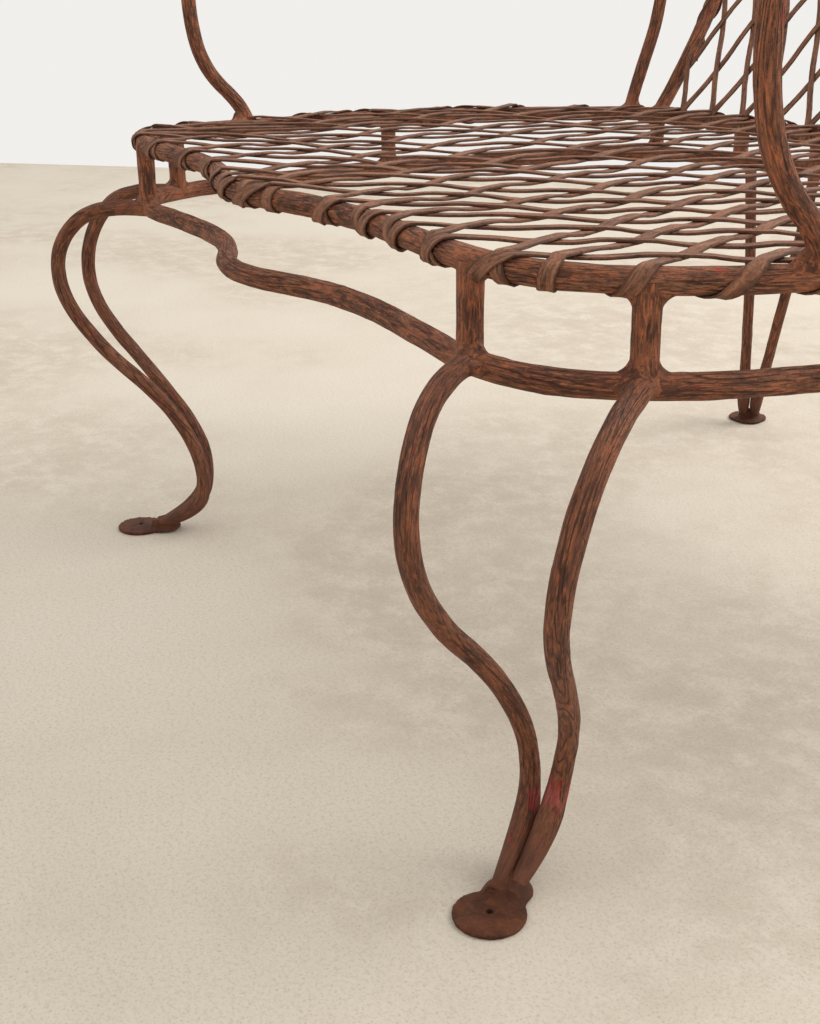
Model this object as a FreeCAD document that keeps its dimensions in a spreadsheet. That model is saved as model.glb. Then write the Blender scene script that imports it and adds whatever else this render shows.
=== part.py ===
"""Wide garden armchair of bent round iron rods with a woven strap seat and back.

Millimetres. +Z is up, the front of the chair looks along -Y, and +X is the sitter's left.
The origin lies on the floor, under the middle of the chair's box.
"""
import FreeCAD, Part
import math
import os
from FreeCAD import Placement, Rotation, Vector

os.makedirs("parts", exist_ok=True)
doc = FreeCAD.newDocument("garden_armchair")

# Driving dimensions, in millimetres and degrees
SIZES = (
    ("rail_diameter", 12.7, "round rod of the seat rails and apron rails"),
    ("post_diameter", 12.2, "round rod of the posts, just thinner than the rails they are coped to"),
    ("leg_diameter", 11.0, "round rod of the front legs"),
    ("rear_leg_diameter", 10.4, "round rod of the rear legs"),
    ("arm_diameter", 11.4, "round rod of the arms"),
    ("back_diameter", 12.7, "round rod of the back frame"),
    ("front_line", -348.0, "y of the line through the two front posts"),
    ("seat_height", 323.4, "floor to the middle of the front seat rail"),
    ("seat_rake", 0.8, "degrees that the seat drops towards the back"),
    ("apron_drop", 47.6, "middle of the seat rail down to the apron rail, at the front"),
    ("apron_rise", 16.0, "how far the apron rail sweeps up from its front to its rear"),
    ("front_post_half", 252.0, "half the distance between the front posts"),
    ("bow_reach", 31.0, "how far the bowed front rail stands out before the front line"),
    ("bow_half", 100.0, "half the width of the bow"),
    ("widest_half", 384.0, "half the width between the corners of the side rails"),
    ("rear_half", 324.0, "half the width between the corners of the rear rail"),
    ("seat_depth", 521.0, "front line to the rear rail"),
    ("front_foot_half", 300.0, "half the distance between the front foot holes"),
    ("front_foot_ahead", 14.0, "how far the front foot holes lie before the front line"),
    ("rear_foot_half", 309.0, "half the distance between the rear foot holes"),
    ("rear_foot_depth", 646.0, "front line to the rear foot holes"),
    ("foot_diameter", 38.0, "round foot pad"),
    ("foot_thickness", 3.4, "round foot pad"),
    ("foot_hole", 3.8, "hole through the middle of a foot pad"),
    ("arm_height", 574.0, "floor to the middle of the arm rod at its highest"),
    ("arm_half", 356.0, "half the distance between the arm rods"),
    ("back_half", 312.0, "half the distance between the uprights of the back"),
    ("back_length", 545.0, "rear rail to the crest of the back, along the back"),
    ("back_lean", 25.6, "degrees that the back leans from upright"),
    ("strap_width", 9.2, "flat strap"),
    ("strap_thickness", 2.2, "flat strap"),
    ("seat_pitch", 43.0, "spacing of the seat straps along X"),
    ("seat_angle", 63.5, "degrees between a seat strap and X"),
    ("back_pitch", 42.0, "spacing of the back straps along X"),
    ("back_angle", 64.5, "degrees between a back strap and X"),
    ("fit", 0.3, "air between a strap and the rod it is folded round"),
    ("lay", 0.2, "air between two straps that cross"),
)
sheet = doc.addObject("Spreadsheet::Sheet", "Sizes")
for row, (alias, value, meaning) in enumerate(SIZES, start=1):
    sheet.set("A%d" % row, alias)
    sheet.set("B%d" % row, str(value))
    sheet.setAlias("B%d" % row, alias)
    sheet.set("C%d" % row, meaning)
doc.recompute()


def size(alias):
    """One driving dimension, read from the sheet."""
    return float(sheet.get(alias))


BEND_SHARE = 0.45      # share of the shorter run beside a bend that its arc takes
RAIL_RADIUS = size("rail_diameter") / 2
FRONT = size("front_line")
RAKE = math.radians(size("seat_rake"))
APRON_Z = size("seat_height") - size("apron_drop")
LEFT, RIGHT = 1, -1
SIDES = (("left", LEFT), ("right", RIGHT))
parts = []


# Paths, rods and cuts

def rod_path(points):
    """A wire of straight runs joined by tangent arcs, each arc as large as its runs allow."""
    edges = []
    start = points[0]
    for before, corner, after in zip(points, points[1:], points[2:]):
        run_in = corner - before
        run_out = after - corner
        turn = run_in.getAngle(run_out)
        reach = BEND_SHARE * min(run_in.Length, run_out.Length)
        towards = Vector(run_in).normalize()
        away = Vector(run_out).normalize()
        radius = reach / math.tan(turn / 2)
        inwards = (away - towards).normalize()
        middle = corner + inwards * (radius / math.cos(turn / 2) - radius)
        arc_start = corner - towards * reach
        arc_end = corner + away * reach
        edges.append(Part.LineSegment(start, arc_start).toShape())
        edges.append(Part.Arc(arc_start, middle, arc_end).toShape())
        start = arc_end
    edges.append(Part.LineSegment(start, points[-1]).toShape())
    return Part.Wire(edges)


def rod(name, points, diameter):
    """A round rod bent along the points. Its section is bound to the sheet."""
    spine = doc.addObject("Part::Feature", name + "_path")
    spine.Shape = rod_path(points)
    section = doc.addObject("Part::Circle", name + "_section")
    section.setExpression("Radius", "Sizes.%s / 2" % diameter)
    section.Placement = Placement(points[0], Rotation(Vector(0, 0, 1), points[1] - points[0]))
    sweep = doc.addObject("Part::Sweep", name + "_rod")
    sweep.Sections = [section]
    sweep.Spine = (spine, ["Edge%d" % (i + 1) for i in range(len(spine.Shape.Edges))])
    sweep.Solid = True
    doc.recompute()
    return sweep


def cut(name, base, tools):
    """The base with the shapes of its neighbours taken out of it, one after the other."""
    result = base
    for number, tool in enumerate(tools):
        step = doc.addObject("Part::Cut", "%s_cope_%d" % (name, number))
        step.Base = result
        step.Tool = tool
        result = step
    doc.recompute()
    return result


def keep(name, result):
    """Names the object that stands for one piece of the chair."""
    result.Label = name
    parts.append(result)
    return result


def mirrored(points, side):
    """The same points on the left (as given) or on the right of the chair."""
    return [Vector(side * p.x, p.y, p.z) for p in points]


# Plan of the two rail loops: the corners of the path, on the left half, from the middle of
# the front round to the rear rail. y is counted back from the front line. Each corner is
# tied to a driving dimension, and the plain numbers are its place beside that dimension.

front_half = size("front_post_half")
widest = size("widest_half")
depth = size("seat_depth")
FRONT_CORNERS = (
    (size("bow_half"), 5.5),
    (front_half - 4, -5),
    (front_half + 50, 12),
)
SIDE_CORNERS = (
    (widest - 46, 66),
    (widest - 34, 128),
    (widest, 0.49 * depth),
    (widest - 12, 0.70 * depth),
    (size("rear_half") + 25, depth - 75),
    (size("rear_half"), depth),
)
SIDE_JOINT = 0.6       # place of the weld between front and side rail, on the side's first run
REAR_JOINT = 0.35      # place of the weld between side and rear rail, along the rear rail
RISE_START = 0.7       # share of the depth at which the apron rail starts to sweep up
CORNER_RISE = 0.35     # share of the sweep that the rear corners have


def on_seat(x, y, lift=0.0):
    """A point on the raked plane through the middle of the seat rails."""
    return Vector(x, FRONT + y * math.cos(RAKE) + lift * math.sin(RAKE),
                  size("seat_height") - y * math.sin(RAKE) + lift * math.cos(RAKE))


def on_apron(x, y):
    """A point on the apron rail's surface, which is level in front and sweeps up at the back."""
    share = max(0.0, y - RISE_START * depth) / ((1 - RISE_START) * depth)
    middle = max(0.0, 1 - abs(x) / size("rear_half"))
    rise = size("apron_rise") * share * (CORNER_RISE + (1 - CORNER_RISE) * middle)
    return Vector(x, FRONT + y, APRON_Z + rise)


def between(first, second, share):
    """The point at a share of the way from one plan point to another."""
    return (first[0] + share * (second[0] - first[0]), first[1] + share * (second[1] - first[1]))


side_weld = between(SIDE_CORNERS[0], SIDE_CORNERS[1], SIDE_JOINT)
rear_weld = between(SIDE_CORNERS[-1], (0, depth), REAR_JOINT)
half_front = ((0, -size("bow_reach")),) + FRONT_CORNERS + (SIDE_CORNERS[0], side_weld)
front_plan = [(-x, y) for x, y in reversed(half_front[1:])] + list(half_front)
side_plan = [side_weld] + list(SIDE_CORNERS[1:]) + [rear_weld]
rear_plan = [rear_weld, (0, depth), (-rear_weld[0], depth)]


def loop(surface, prefix):
    """The front rod and the two side rods of one rail loop, butt welded to each other."""
    made = {}
    front = [surface(x, y) for x, y in front_plan]
    made["front"] = keep("%s_front_rail" % prefix, rod(prefix + "_front", front, "rail_diameter"))
    for side_name, side in SIDES:
        points = mirrored([surface(x, y) for x, y in side_plan], side)
        bent = rod("%s_%s" % (prefix, side_name), points, "rail_diameter")
        made[side_name] = keep("%s_%s_rail" % (prefix, side_name), bent)
    return made


seat_rails = loop(on_seat, "seat")
apron_rails = loop(on_apron, "apron")
seat_rear_points = [on_seat(rear_weld[0], depth), on_seat(-rear_weld[0], depth)]
seat_rails["rear"] = keep("seat_rear_rail", rod("seat_rear", seat_rear_points, "rail_diameter"))
apron_rear_points = [on_apron(x, y) for x, y in rear_plan]
apron_rails["rear"] = keep("apron_rear_rail", rod("apron_rear", apron_rear_points, "rail_diameter"))


def nearest(rails, point):
    """The point on the middle line of a rail loop that lies nearest to the given point."""
    best = None
    for rail in rails.values():
        path = doc.getObject(rail.Name.replace("_rod", "_path"))
        distance, pairs, _ = path.Shape.distToShape(Part.Vertex(point))
        if best is None or distance < best[0]:
            best = (distance, pairs[0][0])
    return best[1]


# Posts between the two loops: a short upright rod, coped to both rails

POSTS = (
    # name, place in plan, and the rail that it stands on and under
    ("front_post", (front_half, -3), "front"),
    ("corner_post", (widest - 60, 45), "front"),
    ("side_post", (widest - 3, 0.505 * depth), "side"),
    ("rear_corner_post", (size("rear_half") - 9, depth - 7), "side"),
    ("rear_outer_post", (0.62 * size("rear_half"), depth), "rear"),
    ("rear_inner_post", (0.32 * size("rear_half"), depth), "rear"),
)
post_foot = {}
posts = {}

for post_name, plan, place in POSTS:
    for side_name, side in SIDES:
        name = "%s_%s" % (post_name, side_name)
        foot = nearest(apron_rails, on_apron(side * plan[0], plan[1]))
        head = nearest(seat_rails, Vector(foot.x, foot.y, size("seat_height")))
        height = head.z - foot.z
        upright = doc.addObject("Part::Cylinder", name + "_upright")
        upright.setExpression("Radius", "Sizes.post_diameter / 2")
        upright.Height = height
        upright.Placement = Placement(foot, Rotation())
        rail_name = side_name if place == "side" else place
        rails = [seat_rails[rail_name], apron_rails[rail_name]]
        posts[name] = keep(name, cut(name, upright, rails))
        post_foot[name] = foot


# Feet: round pads with a hole through the middle

FEET = (
    ("front_foot", size("front_foot_half"), -size("front_foot_ahead")),
    ("rear_foot", size("rear_foot_half"), size("rear_foot_depth")),
)
feet = {}
foot_centre = {}
for foot_name, half, back in FEET:
    for side_name, side in SIDES:
        name = "%s_%s" % (foot_name, side_name)
        centre = Vector(side * half, FRONT + back, 0)
        pad = doc.addObject("Part::Cylinder", name + "_pad")
        pad.setExpression("Radius", "Sizes.foot_diameter / 2")
        pad.setExpression("Height", "Sizes.foot_thickness")
        pad.Placement = Placement(centre, Rotation())
        hole = doc.addObject("Part::Cylinder", name + "_hole")
        hole.setExpression("Radius", "Sizes.foot_hole / 2")
        hole.setExpression("Height", "3 * Sizes.foot_thickness")
        hole.Placement = Placement(centre - Vector(0, 0, size("foot_thickness")), Rotation())
        feet[name] = keep(name, cut(name, pad, [hole]))
        foot_centre[name] = centre


# Legs: S-shaped rods. Each bend is given by its share of the way down, and by how far it
# stands out sideways and back from the straight line between the rod's two ends.

LEGS = (
    # name, post and rail it starts under, foot, landing beside the foot hole, rod, bends
    ("front_inner_leg", "front_post", "front", "front_foot", (-10, 7), "leg_diameter",
     ((-0.01, 31, -35), (0.11, 50, -60), (0.26, 45, -60), (0.42, 19, -34),
      (0.57, -4, 7), (0.71, -13, 30), (0.84, -23, 39), (0.95, -22, 32))),
    ("front_outer_leg", "corner_post", "front", "front_foot", (-4, 14), "leg_diameter",
     ((-0.01, 33, -34), (0.09, 49, -55), (0.23, 54, -60), (0.37, 45, -47),
      (0.55, 14, -7), (0.70, -14, 23), (0.82, -25, 34), (0.95, -19, 29))),
    ("rear_outer_leg", "rear_outer_post", "rear", "rear_foot", (-3, -8), "rear_leg_diameter",
     ((0.01, 56, 58), (0.20, 74, 72), (0.44, 60, 60), (0.65, 36, 36), (0.83, 14, 14), (0.95, 0, 0))),
    ("rear_inner_leg", "rear_inner_post", "rear", "rear_foot", (-9, 2), "rear_leg_diameter",
     ((0.01, 80, 75), (0.20, 96, 92), (0.45, 74, 72), (0.66, 47, 44), (0.83, 20, 18), (0.95, 2, -2))),
)
legs = []
for leg_name, post_name, rail, foot_name, landing, diameter, bends in LEGS:
    for side_name, side in SIDES:
        name = "%s_%s" % (leg_name, side_name)
        post = "%s_%s" % (post_name, side_name)
        foot = "%s_%s" % (foot_name, side_name)
        top = mirrored([post_foot[post]], side)[0]
        centre = mirrored([foot_centre[foot]], side)[0]
        end = centre + Vector(landing[0], landing[1], size(diameter) / 2)
        points = [top]
        for share, out, back in bends:
            on_line = top + (end - top) * share
            points.append(Vector(on_line.x + out, on_line.y + back, on_line.z))
        points.append(end)
        bent = rod(name, mirrored(points, side), diameter)
        neighbours = [apron_rails[rail], apron_rails[side_name], posts[post], feet[foot]]
        neighbours += [leg for leg_foot, leg in legs if leg_foot == foot]
        legs.append((foot, keep(name, cut(name, bent, neighbours))))


# Arms: one bent rod on each side, from the side rail up, over and down to the rear corner.
# Each bend is given by x, y counted back from the front line, and height above the floor.

arm_half = size("arm_half")
arm_z = size("arm_height")
seat_z = size("seat_height")
arm_start = nearest(seat_rails, on_seat(widest - 37, 120))
arm_end = nearest(seat_rails, on_seat(size("rear_half") + 9, depth - 30))
ARM_BENDS = (
    (arm_half - 3, 116, seat_z + 13.6),
    (arm_half - 1, 83, seat_z + 44.6),
    (arm_half - 1, 72, seat_z + 86.6),
    (arm_half, 74, seat_z + 146.6),
    (arm_half + 2, 96, arm_z - 39),
    (arm_half + 1, 160, arm_z - 8),
    (arm_half - 2, 290, arm_z),
    (arm_half - 6, depth - 120, arm_z - 8),
    (arm_half - 13, depth - 12, arm_z - 36),
    (arm_half - 19, depth + 6, seat_z + 136.6),
    (arm_half - 21, depth + 3, seat_z + 81.6),
)
arms = {}
for side_name, side in SIDES:
    name = "%s_arm" % side_name
    points = [arm_start] + [Vector(x, FRONT + y, z) for x, y, z in ARM_BENDS]
    points += [Vector(arm_end.x + 1, arm_end.y + 8, arm_end.z + 26), arm_end]
    bent = rod(name, mirrored(points, side), "arm_diameter")
    arms[name] = keep(name, cut(name, bent, [seat_rails[side_name]]))


# Back frame: one rod from rear corner to rear corner, in a plane that leans back

LEAN = math.radians(size("back_lean"))
rail_z = on_seat(0, depth).z


def on_back(x, up, lift=0.0):
    """A point in the leaning plane through the rear rail. Lift is towards the sitter."""
    return Vector(x, FRONT + depth + up * math.sin(LEAN) - lift * math.cos(LEAN),
                  rail_z + up * math.cos(LEAN) + lift * math.sin(LEAN))


back_half = size("back_half")
crest = size("back_length")
half_back = [(back_half, 0.08 * crest), (back_half, crest - 200), (back_half - 22, crest - 72),
             (back_half - 140, crest - 14), (0, crest + 6)]
stile_foot = nearest(seat_rails, on_seat(back_half, depth - 8))
half_points = [Vector(stile_foot)] + [on_back(x, up) for x, up in half_back]
back_points = half_points + mirrored(list(reversed(half_points[:-1])), RIGHT)
back_rod = rod("back_frame", back_points, "back_diameter")
back_frame = keep("back_frame", cut("back_frame", back_rod, [seat_rails["left"], seat_rails["right"]]))


# Straps: flat bars woven over and under, with each end folded round its rod

SHORTEST_STRAP = 60.0
END_ZONE = 24.0        # near a rod the second family always lies on top
CROSS_EASE = 1.0       # a strap keeps its level this far past the edge of the one it crosses
LEAST_STEP = 0.5       # shortest run between two levels of a strap
PARALLEL = 1e-9        # two unit directions whose cross product is smaller are parallel
FOLD_START = -8.0      # degrees before the top of the rod
FOLD_TURN = 190.0      # degrees that a strap end is folded round its rod
FOLD_THINNING = 0.1    # a folded end is hammered thinner by this much on each face


def crossing(first, second):
    """Where two lines meet, as distances along each, or None when they are parallel."""
    (ax, ay), (ux, uy) = first
    (bx, by), (vx, vy) = second
    side = ux * vy - uy * vx
    if abs(side) < PARALLEL:
        return None
    dx, dy = bx - ax, by - ay
    return (dx * vy - dy * vx) / side, (dx * uy - dy * ux) / side


def chord(x, angle, outline):
    """The stretch of a slanted line inside an outline: its two ends and the outline there."""
    line = ((x, 0.0), (math.cos(angle), math.sin(angle)))
    met = []
    for start, end in zip(outline, outline[1:]):
        run = math.dist(start, end)
        along = ((end[0] - start[0]) / run, (end[1] - start[1]) / run)
        where = crossing(line, (start, along))
        if where and 0 <= where[1] < run:
            met.append((where[0], along))
    if len(met) < 2:
        return None
    low, high = min(met), max(met)
    if high[0] - low[0] < SHORTEST_STRAP:
        return None
    return line, low, high


def fold(centre, along, inward, radius):
    """The folded end of a strap: part of a ring round the rod, one strap wide."""
    width = size("strap_width")
    angle = FOLD_TURN - FOLD_START
    outer = Part.makeCylinder(radius + size("strap_thickness") - FOLD_THINNING, width,
                              Vector(0, 0, -width / 2), Vector(0, 0, 1), angle)
    inner = Part.makeCylinder(radius + FOLD_THINNING, 2 * width,
                              Vector(0, 0, -width), Vector(0, 0, 1))
    ring = outer.cut(inner)
    across = Vector(-along[1], along[0], 0)
    if across.dot(Vector(inward[0], inward[1], 0)) > 0:
        across = across * -1
    up = Vector(0, 0, 1)
    ring.rotate(Vector(), Vector(0, 0, 1), FOLD_START)
    ring.Placement = Placement(Vector(centre[0], centre[1], 0),
                               Rotation(up, across, up.cross(across), "ZXY")) * ring.Placement
    return ring


def strap(line, stretch, levels, folds, rod_radius):
    """One strap, cut from its side view and drawn out to its width, with its folded ends."""
    (x, y), (ux, uy) = line
    width = size("strap_width")
    floor = rod_radius + size("fit")
    step = size("strap_thickness") + size("lay")
    edge = Vector(-uy, ux, 0) * (width / 2)
    under = [Vector(x + ux * s, y + uy * s, floor + level * step) - edge for s, level in levels]
    over = [p + Vector(0, 0, size("strap_thickness")) for p in reversed(under)]
    side_view = Part.Face(Part.makePolygon(under + over + [under[0]]))
    bar = side_view.extrude(edge * 2)
    rings = []
    for s, along, level, inward in folds:
        centre = (x + ux * s, y + uy * s)
        rings.append(fold(centre, along, (ux * inward, uy * inward), floor + level * step))
    return bar.fuse(rings).removeSplitter() if rings else bar


def lattice(outline, pitch, angle, rod_radius, low_end=None):
    """Two families of woven straps inside an outline. Low_end stops them short of a rail."""
    families = []
    for slant in (angle, math.pi - angle):
        reach = max(abs(px) for px, _ in outline) + max(py for _, py in outline) / math.tan(angle)
        count = int(reach / pitch)
        found = []
        for number in range(-count, count + 1):
            piece = chord(number * pitch, slant, outline)
            if piece:
                found.append((number, piece))
        families.append(found)
    half_cross = (size("strap_width") / 2) * (1 + math.cos(math.pi - 2 * angle)) / math.sin(2 * angle)
    half_cross += CROSS_EASE
    made = []
    for which, found in enumerate(families):
        solids = []
        for number, (line, low, high) in found:
            ends = [low[0], high[0]]
            folds = [(low[0], low[1], which, 1), (high[0], high[1], which, -1)]
            if low_end is not None and line[0][1] + line[1][1] * low[0] < low_end:
                ends[0] = (low_end - line[0][1]) / line[1][1]
                folds = folds[1:]
            levels = [(ends[0], which)]
            places = []
            for other_number, (other, other_low, other_high) in families[1 - which]:
                s, t = crossing(line, other)
                inside = ends[0] < s < ends[1] and other_low[0] < t < other_high[0]
                if inside:
                    near = min(s - low[0], high[0] - s, t - other_low[0], other_high[0] - t) < END_ZONE
                    woven = (number + other_number + which) % 2
                    places.append((s, which if near else woven))
            for s, level in sorted(places):
                start = max(s - half_cross, levels[-1][0] + LEAST_STEP)
                end = min(s + half_cross, ends[1] - LEAST_STEP)
                if end > start:
                    levels += [(start, level), (end, level)]
            levels.append((ends[1], which))
            solids.append(strap(line, ends, levels, folds, rod_radius))
        made.append(solids)
    return made


def clear_of(solid, obstacles):
    """The solid without what it shares with its neighbours, as one piece."""
    for obstacle in obstacles:
        if solid.BoundBox.intersect(obstacle.BoundBox):
            solid = solid.cut(obstacle)
    return max(solid.Solids, key=lambda piece: piece.Volume)


def flat_outline(wire, step=5.0):
    """The path of a closed loop as a polygon in its own plane."""
    corners = [(p.x, p.y) for p in wire.discretize(int(wire.Length / step))]
    outline = [corners[0]]
    for corner in corners[1:] + corners[:1]:
        if math.dist(corner, outline[-1]) > LEAST_STEP:
            outline.append(corner)
    outline[-1] = outline[0]
    return outline


def strap_nodes(prefix, families, placement, obstacles):
    """Two pieces, one for each direction, that hold all straps of a seat or a back."""
    for direction, solids in zip(("first", "second"), families):
        placed = []
        for solid in solids:
            solid.Placement = placement * solid.Placement
            placed.append(clear_of(solid, obstacles))
        node = doc.addObject("Part::Feature", "%s_straps_%s" % (prefix, direction))
        node.Shape = Part.Compound(placed)
        keep("%s_straps_%s" % (prefix, direction), node)


full_plan = list(half_front[:-1]) + list(SIDE_CORNERS[1:])
full_plan += [(-x, y) for x, y in reversed(full_plan[1:])]
middle_front = between(full_plan[-1], full_plan[0], 0.5)
seat_loop = [Vector(x, y, 0) for x, y in [middle_front] + full_plan + [middle_front]]
seat_outline = flat_outline(rod_path(seat_loop))
seat_families = lattice(seat_outline, size("seat_pitch"), math.radians(size("seat_angle")), RAIL_RADIUS)
seat_plane = Placement(Vector(0, FRONT, size("seat_height")),
                       Rotation(Vector(1, 0, 0), -size("seat_rake")))
in_the_way = [piece.Shape for piece in list(posts.values()) + list(arms.values()) + [back_frame]]
in_the_way += [rail.Shape for rail in seat_rails.values()]
strap_nodes("seat", seat_families, seat_plane, in_the_way)

# The back straps stop on the seat straps that are folded over the rear rail
stack = RAIL_RADIUS + size("fit") + 2 * (size("strap_thickness") + size("lay"))
back_strap_start = (stack + LEAST_STEP) / math.cos(LEAN)
back_loop = [(back_half, 0)] + half_back[1:] + [(-x, up) for x, up in reversed(half_back[1:-1])]
back_loop += [(-back_half, 0)]
back_outline = flat_outline(rod_path([Vector(x, up, 0) for x, up in back_loop]))
back_families = lattice(back_outline, size("back_pitch"), math.radians(size("back_angle")),
                        size("back_diameter") / 2, back_strap_start)
back_plane = Placement(on_back(0, 0), Rotation(Vector(1, 0, 0), 90 - size("back_lean")))
strap_nodes("back", back_families, back_plane, [seat_rails["rear"].Shape])

# Nothing is written unless every object and every piece is sound
doc.recompute()
faults = [item.Name for item in doc.Objects if {"Invalid", "Error"} & set(item.State)]
for piece in parts:
    shape = piece.Shape
    if shape.isNull() or not shape.isValid() or not shape.Solids:
        faults.append(piece.Label)
if faults:
    raise RuntimeError("faulty objects: " + ", ".join(faults))
for piece in parts:
    piece.Shape.exportStep("parts/%s.step" % piece.Label)
whole = Part.Compound([piece.Shape for piece in parts]).BoundBox
print(len(parts), "pieces, box", [round(v, 1) for v in (whole.XMin, whole.YMin, whole.ZMin,
                                                        whole.XMax, whole.YMax, whole.ZMax)])
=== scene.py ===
import math
import random

import bpy
import numpy as np
from mathutils import Euler, Matrix, Vector, noise


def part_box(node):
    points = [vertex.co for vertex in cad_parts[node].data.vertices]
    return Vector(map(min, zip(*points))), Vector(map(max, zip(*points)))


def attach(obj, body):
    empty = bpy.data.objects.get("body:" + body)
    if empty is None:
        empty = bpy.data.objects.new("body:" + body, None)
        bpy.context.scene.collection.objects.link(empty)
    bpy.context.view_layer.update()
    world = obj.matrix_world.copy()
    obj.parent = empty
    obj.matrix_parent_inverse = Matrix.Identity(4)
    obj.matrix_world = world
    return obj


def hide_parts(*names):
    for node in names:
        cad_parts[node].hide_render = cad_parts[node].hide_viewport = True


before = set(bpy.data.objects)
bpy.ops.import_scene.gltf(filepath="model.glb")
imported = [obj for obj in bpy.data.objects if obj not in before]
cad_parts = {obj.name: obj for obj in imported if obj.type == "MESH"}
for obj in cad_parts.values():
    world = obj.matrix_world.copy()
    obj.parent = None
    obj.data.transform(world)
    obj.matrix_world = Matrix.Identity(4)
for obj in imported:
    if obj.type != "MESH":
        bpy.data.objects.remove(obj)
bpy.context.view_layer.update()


# Seat rails
# The upper loop of the seat: a front rod bent in a bow with an S at each end, two side rods
# and a straight rear rod, all of half-inch round iron rolled with a bark grain, butt welded.

SEAT_HEIGHT = 0.3234
FRONT = -0.348
RAKE = math.radians(0.8)
RAIL_RADIUS = 0.00635
LOOP_DEPTH = 0.521
BAR_SIDES = 56
RING_STEP = 0.003
BEND_STEPS = 20
# The bark: how often a knot comes, how big it is, its rings, and how deep the grain goes
KNOT_EVERY = 0.07
KNOT_SPREAD = 0.0042
KNOT_SIZE = 0.0024
KNOT_RINGS = (0.0026, 0.0042)
RING_WIDTH = 0.00042
GRAIN_SWAY = 0.0011
GROOVE_DEPTH = 0.00033
LUMP_HEIGHT = 0.0003
WAVE_HEIGHT = 0.00018
SMOOTH_ANGLE = math.radians(50)


def on_seat(x, back, lift=0.0):
    """A point on the raked seat plane: sideways, back from the front line, and above it."""
    return Vector((x, FRONT + back * math.cos(RAKE) + lift * math.sin(RAKE),
                   SEAT_HEIGHT - back * math.sin(RAKE) + lift * math.cos(RAKE)))


def middle_of(node):
    """The middle of a CAD node's box."""
    low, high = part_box(node)
    return (Vector(low) + Vector(high)) / 2


# The places where rods are welded together, towards which the bark fades out
POSTS = ["%s_%s" % (post, side)
         for post in ("front_post", "corner_post", "side_post", "rear_corner_post",
                      "rear_outer_post", "rear_inner_post") for side in ("left", "right")]
weld_places = []
for post in POSTS:
    low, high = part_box(post)
    centre = middle_of(post)
    weld_places.append(Vector((centre.x, centre.y, low[2])))
    weld_places.append(Vector((centre.x, centre.y, high[2])))
for side in (1, -1):
    weld_places += [on_seat(side * 0.348, 0.118), on_seat(side * 0.334, 0.492),
                    on_seat(side * 0.3265, 0.512)]


def deselect():
    """Leaves nothing selected."""
    bpy.ops.object.select_all(action="DESELECT")


def pick(*pieces):
    """Selects these pieces only, the first as the active one."""
    deselect()
    for piece in pieces:
        piece.select_set(True)
    bpy.context.view_layer.objects.active = pieces[0]


def put_in(name, data):
    """Puts a curve, mesh, lamp or camera in the scene."""
    made = bpy.data.objects.new(name, data)
    bpy.context.scene.collection.objects.link(made)
    return made


def apply_all(piece):
    """Applies a piece's modifiers in their order."""
    bpy.context.view_layer.objects.active = piece
    for modifier in list(piece.modifiers):
        bpy.ops.object.modifier_apply(modifier=modifier.name)


def route(points, widths=None):
    """The middle line of a bent rod: a smooth curve drawn by the rod's bend points."""
    line = bpy.data.curves.new("route", "CURVE")
    line.dimensions = "3D"
    line.resolution_u = BEND_STEPS
    line.twist_mode = "MINIMUM"
    spline = line.splines.new("NURBS")
    spline.points.add(len(points) - 1)
    for number, place in enumerate(points):
        spline.points[number].co = (*place, 1.0)
        spline.points[number].radius = widths[number] if widths else 1.0
    spline.order_u = 3
    spline.use_endpoint_u = True
    return put_in("route", line)


def line_of(guide):
    """The places that a route passes, one after the other."""
    bare = bpy.data.meshes.new_from_object(guide)
    places = [corner.co.copy() for corner in bare.vertices]
    bpy.data.meshes.remove(bare)
    return places


def length_of(places):
    """The length of a line through places."""
    return sum((b - a).length for a, b in zip(places, places[1:]))


def read_places(piece):
    """The places of a piece's corners as an array."""
    table = np.zeros(len(piece.data.vertices) * 3)
    piece.data.vertices.foreach_get("co", table)
    return table.reshape(-1, 3)


def set_places(piece, table):
    """Moves a piece's corners to the places of an array."""
    piece.data.vertices.foreach_set("co", np.ascontiguousarray(table, dtype=np.float32).ravel())
    piece.data.update()


def write_grain(piece, name, table):
    """Keeps a number or a place for each corner, which the materials read."""
    kind, key = ("FLOAT_VECTOR", "vector") if table.ndim == 2 else ("FLOAT", "value")
    layer = piece.data.attributes.new(name, kind, "POINT")
    layer.data.foreach_set(key, np.ascontiguousarray(table, dtype=np.float32).ravel())


DICE = np.random.RandomState(7)
SHUFFLE = DICE.permutation(256)
SLOPES = DICE.normal(size=(256, 3))
SLOPES /= np.linalg.norm(SLOPES, axis=1)[:, None]


def rolling(places):
    """Smooth random waves from about -1 to 1, one value for each place, a step of 1 apart."""
    cell = np.floor(places).astype(int)
    inside = places - cell
    ease = inside ** 3 * (inside * (inside * 6 - 15) + 10)
    total = np.zeros(len(places))
    for corner in range(8):
        step = np.array([corner & 1, corner >> 1 & 1, corner >> 2])
        index = SHUFFLE[(cell[:, 0] + step[0]) & 255]
        index = SHUFFLE[(index + cell[:, 1] + step[1]) & 255]
        index = SHUFFLE[(index + cell[:, 2] + step[2]) & 255]
        weight = np.prod(np.where(step, ease, 1 - ease), axis=1)
        total += weight * ((inside - step) * SLOPES[index]).sum(axis=1)
    return total * 1.6


def draw_out(steps, step):
    """Draws the active piece, the end of a bar, out along X into a closed bar."""
    bpy.ops.object.mode_set(mode="EDIT")
    bpy.ops.mesh.select_all(action="SELECT")
    bpy.ops.mesh.extrude_repeat(steps=steps, offset=(step, 0, 0))
    bpy.ops.mesh.select_all(action="SELECT")
    bpy.ops.mesh.normals_make_consistent(inside=False)
    bpy.ops.object.mode_set(mode="OBJECT")


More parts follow.
